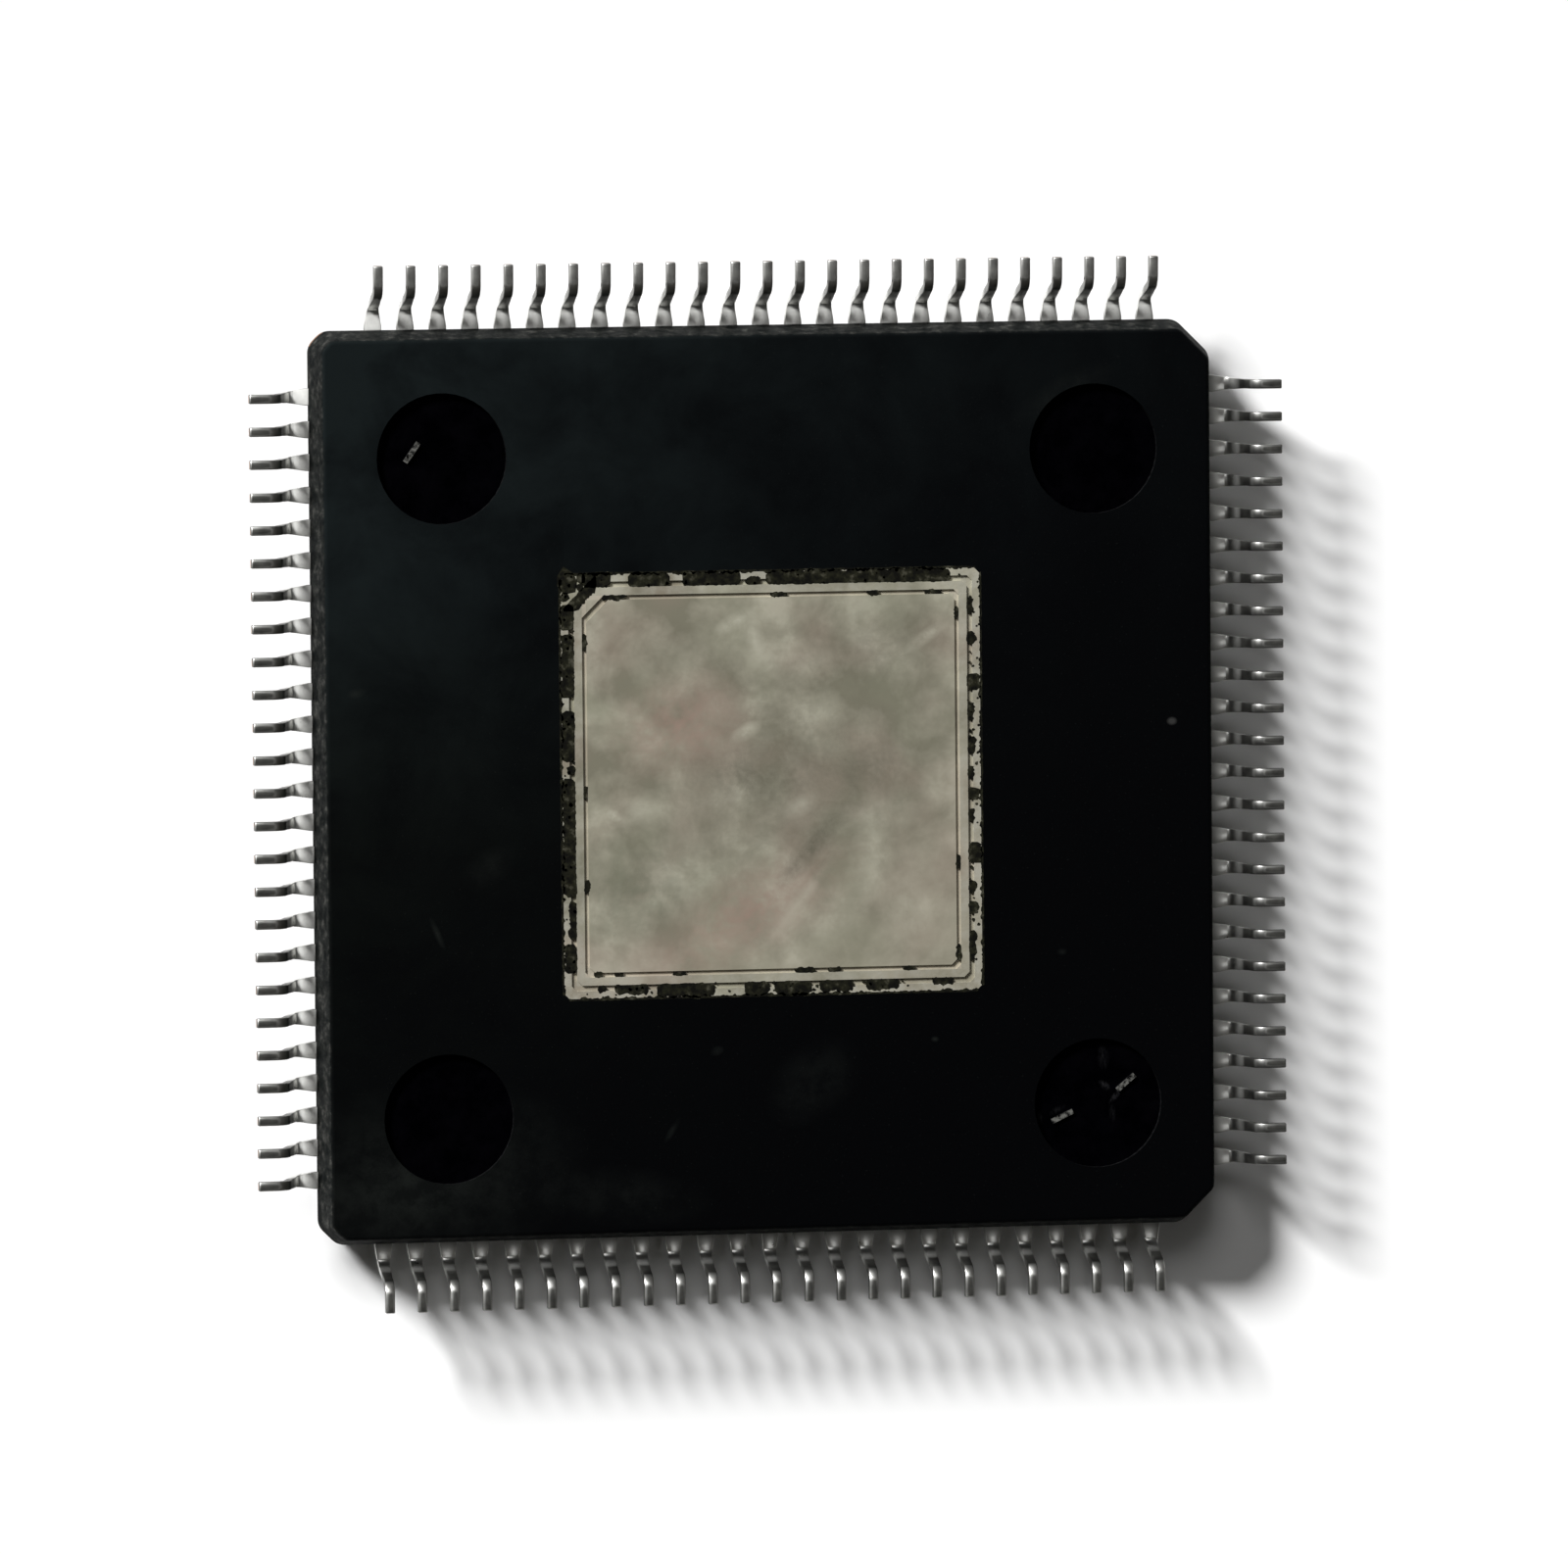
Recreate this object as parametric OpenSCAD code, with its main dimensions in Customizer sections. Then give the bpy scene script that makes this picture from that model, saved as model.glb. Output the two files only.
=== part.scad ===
// Quad flat package with an exposed thermal pad, in millimetres.
// It lies on its marking face with the solder side up. The origin is the centre of the
// marking face, +Z points to the solder side, and the indexed corner is at -X, +Y.

/* [Moulded body] */
// Side of the square body at its parting line
body_side = 14; // [12:0.1:16]
// Height of the marking half, from the marking face to the middle of the leadframe
marking_half = 0.7; // [0.65:0.01:0.8]
// Height of the solder half, from the middle of the leadframe to the solder face
solder_half = 0.7; // [0.65:0.01:0.8]
// Draft of the side walls above and below the parting line, in degrees
body_draft = 12; // [5:1:15]
// Radius that rounds every upright edge of the body at the parting line
edge_round = 0.28; // [0.25:0.01:0.4]
// Radius that rounds the edges of both faces
face_round = 0.06; // [0.02:0.01:0.1]
// Leg of the flat across the indexed corner, -X +Y
flat_indexed = 0.06; // [0.03:0.01:0.3]
// Leg of the flat across the gate corner, +X +Y
flat_gate = 0.37; // [0.1:0.01:0.5]
// Leg of the flat across the vent corner, +X -Y
flat_vent = 0.37; // [0.1:0.01:0.5]
// Leg of the flat across the plain corner, -X -Y
flat_plain = 0.12; // [0.03:0.01:0.3]

/* [Mould marks] */
// Diameter of the ejector pin recesses in the solder face
ejector_d = 2; // [1.2:0.05:2.2]
// Depth of the ejector pin recesses
ejector_depth = 0.12; // [0.05:0.01:0.2]
// Distance of the ejector pin recesses' axes from the two sides of their corner
ejector_inset = 1.95; // [1.6:0.05:2.2]
// Length of the raised ticks on the floors of two of the recesses
tick_length = 0.36; // [0.2:0.02:0.4]
// Width of the raised ticks
tick_width = 0.08; // [0.05:0.01:0.15]
// Height of the raised ticks
tick_height = 0.05; // [0.02:0.01:0.1]
// Diameter of the index dimple in the marking face
dimple_d = 1; // [0.6:0.05:1.5]
// Depth of the index dimple
dimple_depth = 0.1; // [0.05:0.01:0.15]
// Distance of the index dimple from the two sides of its corner
dimple_inset = 1.4; // [1.2:0.05:2]

/* [Leads] */
// Pitch of the leads; a side holds as many as fit between its margins
lead_pitch = 0.5; // [0.4:0.01:0.65]
// Least distance from the body's corner to the middle of the first lead
row_margin = 1; // [0.9:0.05:1.5]
// Thickness of the leadframe strip
strip_thickness = 0.127; // [0.1:0.001:0.15]
// Reach of the leads beyond the body
lead_reach = 1; // [0.95:0.01:1.2]
// Length of the flat shoulder outside the body
shoulder_length = 0.22; // [0.12:0.01:0.25]
// Width of the shoulder where it leaves the body
shoulder_width = 0.26; // [0.2:0.01:0.27]
// Length of the stub of trimmed dambar, still as wide as the shoulder
stub_length = 0.05; // [0.02:0.01:0.1]
// Length over which the lead narrows from there, past the shoulder and down the slope
taper_length = 0.42; // [0.25:0.01:0.5]
// Width of the lower slope and the foot
foot_width = 0.14; // [0.11:0.01:0.2]
// Inner radius of both bends
bend_radius = 0.12; // [0.08:0.01:0.14]
// Angle of the slope between shoulder and foot, from the flat, in degrees
slope_angle = 72; // [68:1:80]
// Tilt of the foot, whose toe touches the board first, in degrees
foot_tilt = 3; // [0:0.5:7]
// Height of the seating plane of the feet over the solder face
standoff = 0.1; // [0.05:0.01:0.15]

/* [Inner fingers] */
// Length of lead inside the body that runs straight before it fans in
anchor_length = 0.5; // [0.4:0.05:0.55]
// Distance of the fingers' inner tips from the paddle's lip
finger_clearance = 0.38; // [0.3:0.01:0.6]
// Distance of the first finger's tip from the corner of the ring of tips
finger_margin = 0.51; // [0.45:0.01:0.6]
// Gap between neighbouring fingers at their tips
finger_gap = 0.12; // [0.1:0.01:0.14]

/* [Die paddle] */
// Side of the exposed pad
pad_side = 6.5; // [6:0.05:7]
// Leg of the chamfer that the moats turn at the indexed corner
pad_index_cut = 0.34; // [0.2:0.01:0.5]
// Leg of the small chamfers on the pad's corners
pad_corner_cut = 0.08; // [0.04:0.01:0.15]
// Width of the lip that locks the paddle in the moulding, below the exposed face
lip_width = 0.12; // [0.05:0.01:0.15]
// Depth of the lip below the exposed face
lip_depth = 0.06; // [0.05:0.005:0.08]
// Depth of the two moats in the exposed face
moat_depth = 0.04; // [0.02:0.005:0.045]
// Width of the land outside the outer moat
rim_width = 0.115; // [0.08:0.005:0.15]
// Width of the outer moat
outer_moat_width = 0.085; // [0.05:0.005:0.12]
// Width of the ridge between the moats
ridge_width = 0.125; // [0.08:0.005:0.15]
// Width of the inner moat
inner_moat_width = 0.07; // [0.04:0.005:0.1]
// Width of the four tie bars
tie_width = 0.3; // [0.2:0.01:0.32]
// Slope of the tie bars' downset, in degrees
tie_slope = 60; // [50:1:70]

/* [Die] */
// Side of the square die
die_side = 4.4; // [4:0.1:5]
// Thickness of the die
die_thickness = 0.28; // [0.2:0.01:0.3]
// Thickness of the die attach film
attach_thickness = 0.03; // [0.02:0.005:0.05]
// Distance of the bond pads from the die's edge
bond_inset = 0.12; // [0.08:0.01:0.2]
// Distance of the first bond pad from the die's corner, along its edge
bond_margin = 0.22; // [0.2:0.01:0.4]

/* [Bond wires] */
// Diameter of the bond wires
wire_d = 0.03; // [0.02:0.005:0.04]
// Bend radius of the wires, at their axis
wire_bend = 0.08; // [0.06:0.01:0.1]
// Height of the loops' tops over the fingers
loop_clearance = 0.13; // [0.1:0.01:0.16]
// Distance of the stitch bonds from the fingers' inner tips
stitch_inset = 0.15; // [0.1:0.01:0.2]
// Diameter of the ball bonds on the die
ball_d = 0.07; // [0.05:0.005:0.08]
// Height of the ball bonds
ball_height = 0.02; // [0.01:0.005:0.03]
// Diameter of the stitch bonds on the fingers
stitch_d = 0.06; // [0.05:0.005:0.08]
// Height of the stitch bonds
stitch_height = 0.015; // [0.01:0.0025:0.02]

/* [Hidden] */
// Facets of the round forms, and of the wires
$fn = 64;
wire_fn = 16;
// Steps in the rounding of the body's face edges
round_steps = 3;
// How far cutting tools reach past the faces they cut
past = 0.5;
// Share of a pitch that rounding may take from a row that fits exactly
pitch_slack = 0.01;

SIDES = ["right", "top", "left", "bottom"];
BANKS = 5;
function lead_node(side, bank) = str("leads_", side, "_", bank);
function wire_node(side) = str("bond_wires_", side);

// Ticks in two of the recesses: X and Y from the recess's axis, and heading
TICKS_INDEXED = [[-0.45, 0.1, 55]];
TICKS_VENT = [[-0.55, -0.2, 25], [0.45, 0.3, 40]];

// Heights over the marking face
body_height = marking_half + solder_half;
strip_bottom = marking_half - strip_thickness / 2;
strip_top = marking_half + strip_thickness / 2;
seating_plane = body_height + standoff;

// Heights of the stack that hangs from the exposed pad
paddle_inner = body_height - strip_thickness;
attach_inner = paddle_inner - attach_thickness;
die_face = attach_inner - die_thickness;

// The side wall's offsets from the core of the body, where its slopes reach both faces
wall_low = edge_round - strip_bottom * tan(body_draft);
wall_high = edge_round - (body_height - strip_top) * tan(body_draft);
// Distance of the rounding's centre from where face and slope would meet
face_setback = face_round * tan(45 - body_draft / 2);

// The rows of leads, of the fingers' tips and of the bond pads
leads_per_side = floor((body_side - 2 * row_margin) / lead_pitch + pitch_slack) + 1;
finger_ring = pad_side / 2 + lip_width + finger_clearance;
finger_pitch = 2 * (finger_ring - finger_margin) / (leads_per_side - 1);
finger_width = finger_pitch - finger_gap;
bond_pitch = 2 * (die_side / 2 - bond_margin) / (leads_per_side - 1);

// The lead's bends, at the middle of the strip
bend_axis = bend_radius + strip_thickness / 2;
bends_run = bend_axis * (2 * sin(slope_angle) - sin(foot_tilt));
bends_rise = bend_axis * (1 - 2 * cos(slope_angle) + cos(foot_tilt));
// Rise and run of slope and foot together, which fix the lengths of both
flight_run = lead_reach - shoulder_length - bends_run - strip_thickness / 2 * sin(foot_tilt);
flight_rise = seating_plane - strip_thickness / 2 * cos(foot_tilt) - marking_half - bends_rise;
flight_cross = sin(slope_angle - foot_tilt);
slope_length = (flight_rise * cos(foot_tilt) - flight_run * sin(foot_tilt)) / flight_cross;
foot_length = (flight_run * sin(slope_angle) - flight_rise * cos(slope_angle)) / flight_cross;

// The wire's loop, over the die face
finger_rise = die_face - strip_bottom;
loop_top = finger_rise + loop_clearance;

// Corners, counter-clockwise from +X +Y, of a square whose corners are cut by legs
function cut_square(side, legs) = let (h = side / 2) [
    [h, h - legs[0]], [h - legs[0], h],
    [-h + legs[1], h], [-h, h - legs[1]],
    [-h, -h + legs[2]], [-h + legs[2], -h],
    [h - legs[3], -h], [h, -h + legs[3]],
];

core_outline = cut_square(body_side - 2 * edge_round,
    [flat_gate, flat_indexed, flat_plain, flat_vent]);

function heading(a, b) = atan2(b.y - a.y, b.x - a.x);

// ---- Moulded body ----

// Points of the rounding between a slope and a face, drawn between two angles
function face_rounding(centre, from, to) = [
    for (k = [0:round_steps]) let (a = from + (to - from) * k / round_steps)
        centre + face_round * [cos(a), sin(a)]
];

// The wall outside the core: draft both ways from a flat band as high as the strip
module wall_section() {
    polygon(concat(
        [[0, 0]],
        face_rounding([wall_low - face_setback, face_round], -90, -body_draft),
        [[edge_round, strip_bottom], [edge_round, strip_top]],
        face_rounding([wall_high - face_setback, body_height - face_round], body_draft, 90),
        [[0, body_height]]
    ));
}

// The whole outer form of the body, swept round its core. The cut square turns by the same
// angle at each of its corners.
module body_envelope() {
    last = len(core_outline) - 1;
    turn = 360 / len(core_outline);
    linear_extrude(body_height) polygon(core_outline);
    for (k = [0:last]) {
        a = core_outline[k];
        b = core_outline[k == last ? 0 : k + 1];
        translate([b.x, b.y, 0]) {
            rotate([0, 0, heading(a, b) - 90]) {
                rotate([90, 0, 0]) linear_extrude(norm(b - a)) wall_section();
                rotate([0, 0, turn]) rotate_extrude(angle = -turn) wall_section();
            }
        }
    }
}

// A recess whose floor carries ticks, each given by its place and heading
module ejector_recess(ticks) {
    floor = body_height - ejector_depth;
    difference() {
        translate([0, 0, floor]) cylinder(h = ejector_depth + past, d = ejector_d);
        for (tick = ticks)
            translate([tick.x, tick.y, floor - past]) rotate([0, 0, tick.z])
                translate([-tick_length / 2, -tick_width / 2, 0])
                    cube([tick_length, tick_width, past + tick_height]);
    }
}

module ejector_recesses() {
    place = body_side / 2 - ejector_inset;
    translate([place, place, 0]) ejector_recess([]);
    translate([-place, place, 0]) ejector_recess(TICKS_INDEXED);
    translate([-place, -place, 0]) ejector_recess([]);
    translate([place, -place, 0]) ejector_recess(TICKS_VENT);
}

module index_dimple() {
    place = body_side / 2 - dimple_inset;
    translate([-place, place, -past]) cylinder(h = dimple_depth + past, d = dimple_d);
}

module mould_body() {
    color([0.06, 0.07, 0.07])
    difference() {
        body_envelope();
        ejector_recesses();
        index_dimple();
        paddle_blank(past);
        die_stack(paddle_inner - die_face);
        for (turn = [0:3]) rotate([0, 0, 90 * turn]) {
            translate([0, 0, strip_bottom])
                linear_extrude(strip_thickness)
                    for (i = [0:leads_per_side - 1]) polygon(lead_outline(i));
            for (i = [0:leads_per_side - 1]) bond_wire(i);
        }
    }
}

// ---- Die paddle ----

// A plate as large as the exposed pad and so much more on each side
module pad_plate(grow, bottom, top, index_cut = pad_corner_cut) {
    cuts = [pad_corner_cut, index_cut, pad_corner_cut, pad_corner_cut];
    translate([0, 0, bottom])
        linear_extrude(top - bottom) polygon(cut_square(pad_side + 2 * grow, cuts));
}

// One moat, its outer edge so far inside the pad's outline
module moat(inset, width) {
    floor = body_height - moat_depth;
    difference() {
        pad_plate(-inset, floor, body_height + past, pad_index_cut);
        pad_plate(-inset - width, floor - past, body_height + 2 * past, pad_index_cut);
    }
}

// Side view of a tie bar along the diagonal: paddle level, downset, strip level
module tie_section() {
    root = pad_side / 2;
    bend = (pad_side / 2 + lip_width) * sqrt(2);
    drop = body_height - lip_depth - strip_top;
    run = drop / tan(tie_slope);
    // The strip's thickness along the slope, measured level
    level = (strip_thickness - lip_depth) / tan(tie_slope);
    end = body_side;
    polygon([
        [root, paddle_inner], [bend, paddle_inner],
        [bend + run - level, strip_bottom], [end, strip_bottom],
        [end, strip_top], [bend + run, strip_top],
        [bend, body_height - lip_depth], [root, body_height - lip_depth],
    ]);
}

// The paddle with its tie bars before the moats are pressed, and so far proud of the face
module paddle_blank(proud) {
    pad_plate(0, paddle_inner, body_height + proud);
    pad_plate(lip_width, paddle_inner, body_height - lip_depth);
    intersection() {
        body_envelope();
        for (turn = [0:3])
            rotate([0, 0, 45 + 90 * turn])
                rotate([90, 0, 0])
                    linear_extrude(tie_width, center = true) tie_section();
    }
}

module die_paddle() {
    color([0.55, 0.54, 0.48])
    difference() {
        paddle_blank(0);
        moat(rim_width, outer_moat_width);
        moat(rim_width + outer_moat_width + ridge_width, inner_moat_width);
    }
}

// ---- Die ----

// A square block so high, standing on the inner face of the paddle
module die_stack(height) {
    translate([-die_side / 2, -die_side / 2, paddle_inner - height])
        cube([die_side, die_side, height]);
}

module die_attach() {
    color([0.75, 0.75, 0.72]) die_stack(attach_thickness);
}

module die() {
    color([0.25, 0.27, 0.3])
    translate([-die_side / 2, -die_side / 2, die_face])
        cube([die_side, die_side, die_thickness]);
}

// ---- Leads ----
// Leads and wires are drawn for the +X side and turned to the others.
// Lead i is counted along +Y.

function place(i, pitch) = (i - (leads_per_side - 1) / 2) * pitch;

// Outline of a lead before it is bent, from the finger's tip to the toe
function lead_outline(i) =
    let (
        y = place(i, lead_pitch), tip_y = place(i, finger_pitch),
        edge = body_side / 2,
        fan = edge - anchor_length,
        stub = edge + stub_length,
        neck = stub + taper_length,
        toe = edge + lead_reach,
        t = finger_width / 2, s = shoulder_width / 2, f = foot_width / 2
    )
    [
        [finger_ring, tip_y - t], [fan, y - s], [stub, y - s], [neck, y - f], [toe, y - f],
        [toe, y + f], [neck, y + f], [stub, y + s], [fan, y + s], [finger_ring, tip_y + t],
    ];

// The side view of the strip is drawn stretch by stretch. Each stretch starts at the
// origin, heads along +X, and carries its children to its own end.

module straight(length) {
    translate([0, -strip_thickness / 2]) square([length, strip_thickness]);
    translate([length, 0]) children();
}

// A sector of the bent strip round the origin, starting below it
module bend_sector(angle) {
    outer = bend_radius + strip_thickness;
    far = 2 * outer;
    difference() {
        circle(outer);
        circle(bend_radius);
        translate([-far, -far]) square([far, 2 * far]);
        rotate(angle) translate([0, -far]) square([far, 2 * far]);
    }
}

// Turns to the left, or to the right where the angle is negative
module bend(angle) {
    left = sign(angle);
    translate([0, left * bend_axis]) {
        mirror([0, left < 0 ? 1 : 0]) bend_sector(abs(angle));
        rotate(angle) translate([0, -left * bend_axis]) children();
    }
}

// Side view of the bent strip, from the fingers' tips to the toe
module strip_section() {
    translate([finger_ring, marking_half])
        straight(body_side / 2 + shoulder_length - finger_ring)
        bend(slope_angle)
        straight(slope_length)
        bend(foot_tilt - slope_angle)
        straight(foot_length);
}

// The leads of one bank on the +X side, cut from one bent strip
module lead_bank(bank) {
    first = floor((bank - 1) * leads_per_side / BANKS);
    last = floor(bank * leads_per_side / BANKS) - 1;
    intersection() {
        rotate([90, 0, 0])
            linear_extrude(body_side, center = true) strip_section();
        linear_extrude(seating_plane + past)
            for (i = [first:last]) polygon(lead_outline(i));
    }
}

module leads(turn, bank) {
    color([0.78, 0.78, 0.74]) rotate([0, 0, 90 * turn]) lead_bank(bank);
}

// ---- Bond wires ----

// A wire's loop over the die face, which is the XY plane here, with +Z to its top
module wire_loop(run) {
    bend_height = loop_top - wire_bend;
    landing = [run - wire_bend, finger_rise + wire_d / 2 - bend_height];
    reach = norm(landing);
    // The straight stretch leaves the bend on its tangent to the landing point
    dip = 90 - atan2(landing.y, landing.x) - acos(wire_bend / reach);
    cylinder(h = ball_height, d = ball_d);
    cylinder(h = bend_height, d = wire_d, $fn = wire_fn);
    translate([wire_bend, 0, bend_height]) {
        rotate([90, 0, 0]) rotate([0, 0, 90 - dip])
            rotate_extrude(angle = 90 + dip)
                translate([wire_bend, 0]) circle(d = wire_d, $fn = wire_fn);
        rotate([0, dip, 0]) translate([0, 0, wire_bend]) rotate([0, 90, 0])
            cylinder(h = sqrt(reach * reach - wire_bend * wire_bend), d = wire_d, $fn = wire_fn);
    }
    translate([run, 0, finger_rise]) cylinder(h = stitch_height, d = stitch_d);
}

// The wire from bond pad i to finger i on the +X side
module bond_wire(i) {
    pad = [die_side / 2 - bond_inset, place(i, bond_pitch)];
    fan = body_side / 2 - anchor_length;
    // The stitch sits on the finger's middle line, which fans in to the tip
    slant = (place(i, lead_pitch) - place(i, finger_pitch)) / (fan - finger_ring);
    stitch = [finger_ring + stitch_inset, place(i, finger_pitch) + stitch_inset * slant];
    translate([pad.x, pad.y, die_face])
        rotate([0, 0, heading(pad, stitch)])
            mirror([0, 0, 1]) wire_loop(norm(stitch - pad));
}

module bond_wires(turn) {
    color([0.85, 0.65, 0.25])
    rotate([0, 0, 90 * turn])
        for (i = [0:leads_per_side - 1]) bond_wire(i);
}

mould_body();
die_paddle();
die_attach();
die();
for (turn = [0:3]) for (bank = [1:BANKS])
    leads(turn, bank);
for (turn = [0:3])
    bond_wires(turn);
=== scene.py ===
"""Looks of a quad flat pack chip that lies on its marking face, solder side up."""
import math
import random

import bmesh
import bpy
from mathutils import Matrix, Vector


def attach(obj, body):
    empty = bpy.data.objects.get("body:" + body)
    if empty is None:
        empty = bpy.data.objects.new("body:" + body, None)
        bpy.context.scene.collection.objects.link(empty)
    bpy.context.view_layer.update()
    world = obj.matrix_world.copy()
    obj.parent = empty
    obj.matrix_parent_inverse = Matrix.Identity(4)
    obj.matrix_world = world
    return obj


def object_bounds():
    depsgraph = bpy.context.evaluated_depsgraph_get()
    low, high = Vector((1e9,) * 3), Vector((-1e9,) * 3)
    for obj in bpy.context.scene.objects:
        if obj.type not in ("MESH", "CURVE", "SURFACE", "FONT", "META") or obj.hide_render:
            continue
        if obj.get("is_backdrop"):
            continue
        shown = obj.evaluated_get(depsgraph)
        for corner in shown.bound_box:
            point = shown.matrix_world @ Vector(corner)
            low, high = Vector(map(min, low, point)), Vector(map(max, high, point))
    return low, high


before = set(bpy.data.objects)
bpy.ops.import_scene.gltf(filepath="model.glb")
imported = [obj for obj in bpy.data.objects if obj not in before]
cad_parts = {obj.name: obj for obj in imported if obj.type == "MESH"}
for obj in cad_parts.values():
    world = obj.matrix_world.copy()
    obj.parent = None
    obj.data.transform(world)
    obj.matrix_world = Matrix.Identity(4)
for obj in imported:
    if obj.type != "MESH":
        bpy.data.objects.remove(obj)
CAD_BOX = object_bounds()

MM = 0.001
SIDES = ("right", "top", "left", "bottom")

# Camera, as a long lens a little up and to the left of the chip's own axis
LEAN_LEFT = math.radians(9.5)
LEAN_UP = math.radians(4.0)
ROLL = 0.0095
CAMERA_DISTANCE = 175 * MM
FRAME_WIDTH = 24.12 * MM
SENSOR_WIDTH = 36  # mm, the lens's own unit
CLIP_START = 5 * MM
CLIP_END = 10.0
AIM = Vector((0.297, 0.042, 0.72)) * MM

# Far lamps: name, strength, and spread, turn and height in degrees. The low window gives the
# long shadows, and the weak lamps glint on the heels and the shoulders
LAMPS = (
    ("window_light", 5.7, 13, 135, 33),
    ("upper_window_light", 0.33, 22, 112, 55),
    ("glint_light", 0.012, 16, 180, 62),
    ("glint_light", 0.028, 16, 90, 62),
    ("glint_light", 0.062, 14, -26, 78),
)
LAMP_DISTANCE = 0.2
SKY_COLOUR = (1.0, 0.90, 0.64)
SKY_LOW = 0.004
SKY_HIGH = 0.014
FLOOR_HALF = 0.4
FLOOR_GAP = 0.002 * MM

# Sizes of the CAD pieces that the finish and the flash follow
BODY_HALF = 7.0 * MM
TOE = 8.0 * MM
SOLDER_FACE = 1.4 * MM
PAD_HALF = 3.25 * MM
PAD_INDEX_CUT = 0.34 * MM
RIM_WIDTH = 0.115 * MM
RIDGE = (0.20 * MM, 0.325 * MM)
INNER_MOAT = (0.325 * MM, 0.395 * MM)
MOAT_DEPTH = 0.04 * MM
TICK_TOP = 1.33 * MM

# The zone along the body's edge that holds the draft faces and no recess
WALL_ZONE = 0.5 * MM
# Lengths over which a lead's finish changes outside the body's wall
SHORT_FADE = 0.02 * MM
LONG_FADE = 0.1 * MM
# Width of a lead's rounded edges, and how near points lie that are joined before
LEAD_EDGE = 0.015 * MM
WELD_REACH = 0.0005 * MM

# Handling marks on the face: middle and half lengths in mm, turn, and strength
HANDLING_MARKS = (
    ((-5.4, -5.9), (2.6, 1.5), 0.1, 0.45), ((-6.0, -6.2), (1.2, 0.7), 0.2, 0.35),
    ((-2.4, -6.3), (1.5, 0.5), -0.1, 0.25), ((4.6, 5.9), (1.0, 0.3), 0.5, 0.3),
    ((0.6, -4.6), (0.9, 0.6), 0.7, 0.25), ((-1.6, -5.3), (0.25, 0.06), 1.0, 0.5),
    ((-5.2, -2.2), (0.06, 0.30), 0.4, 0.5), ((-0.9, -4.1), (0.12, 0.08), 0.3, 0.7),
    ((2.5, -4.0), (0.07, 0.05), 0.0, 0.6), ((4.5, -2.7), (0.09, 0.06), 0.0, 0.5),
    ((-6.4, 1.5), (0.16, 0.09), 0.2, 0.6), ((-4.4, -1.2), (0.5, 0.3), 0.6, 0.25),
)

# Scratches in the vent corner's recess: shift from its middle and half lengths in mm,
# turn, and tone
VENT_RECESS = (5.05, -5.05)
VENT_SCRATCHES = (
    ((0.10, 0.70), (0.10, 0.24), 0.10, 0.007), ((0.12, 0.26), (0.07, 0.12), 0.9, 0.016),
    ((0.30, 0.10), (0.17, 0.05), 0.9, 0.018), ((0.24, -0.15), (0.06, 0.20), 0.15, 0.006),
    ((-0.90, -0.20), (0.05, 0.12), 0.2, 0.009), ((-0.62, -0.10), (0.16, 0.06), 0.5, 0.006),
)

# Rubs, smears and stains on the pad: middle and half lengths in mm, turn, tone and strength
RUB_TONES = {
    "lit_side_shoulders": (0.66, 0.645, 0.55), "dark": (0.20, 0.19, 0.145),
    "pink": (0.450, 0.335, 0.280), "green": (0.235, 0.250, 0.185),
}
PAD_RUBS = (
    ((0.3, 0.3), (3.0, 2.8), 0.0, "dark", 0.45), ((-1.4, 0.9), (1.3, 0.9), 0.2, "pink", 0.75),
    ((-0.4, -2.0), (2.2, 0.8), 0.5, "pink", 0.7), ((-2.1, -1.6), (1.3, 1.0), 0.2, "green", 0.55),
    ((-0.4, 0.1), (1.1, 0.45), -0.2, "dark", 0.5), ((1.5, 0.2), (0.7, 0.45), 0.4, "dark", 0.5),
    ((0.6, -1.0), (0.85, 0.22), 0.85, "dark", 1.0), ((1.7, 2.1), (1.3, 0.8), 0.1, "dark", 0.35),
    ((-1.6, 2.2), (0.7, 0.4), 0.3, "dark", 0.3), ((-0.55, 2.50), (0.40, 0.15), 0.5, "lit_side_shoulders", 0.8),
    ((-0.25, 2.20), (0.16, 0.38), 0.1, "lit_side_shoulders", 0.6),
    ((-0.40, 0.80), (0.30, 0.14), 0.5, "lit_side_shoulders", 0.9),
    ((-2.45, -0.45), (0.14, 0.10), -0.4, "lit_side_shoulders", 1.0),
    ((-2.10, -0.40), (0.45, 0.25), 0.2, "lit_side_shoulders", 0.4),
    ((2.4, 2.2), (0.45, 0.12), 0.6, "lit_side_shoulders", 0.7), ((0.4, -1.85), (0.95, 0.13), 0.9, "lit_side_shoulders", 0.45),
    ((2.1, -2.0), (0.45, 0.7), 0.2, "lit_side_shoulders", 0.4), ((0.45, -0.35), (0.35, 0.18), 0.5, "lit_side_shoulders", 0.5),
    ((-2.8, 2.3), (0.3, 1.0), 0.0, "lit_side_shoulders", 0.5),
)

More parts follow.
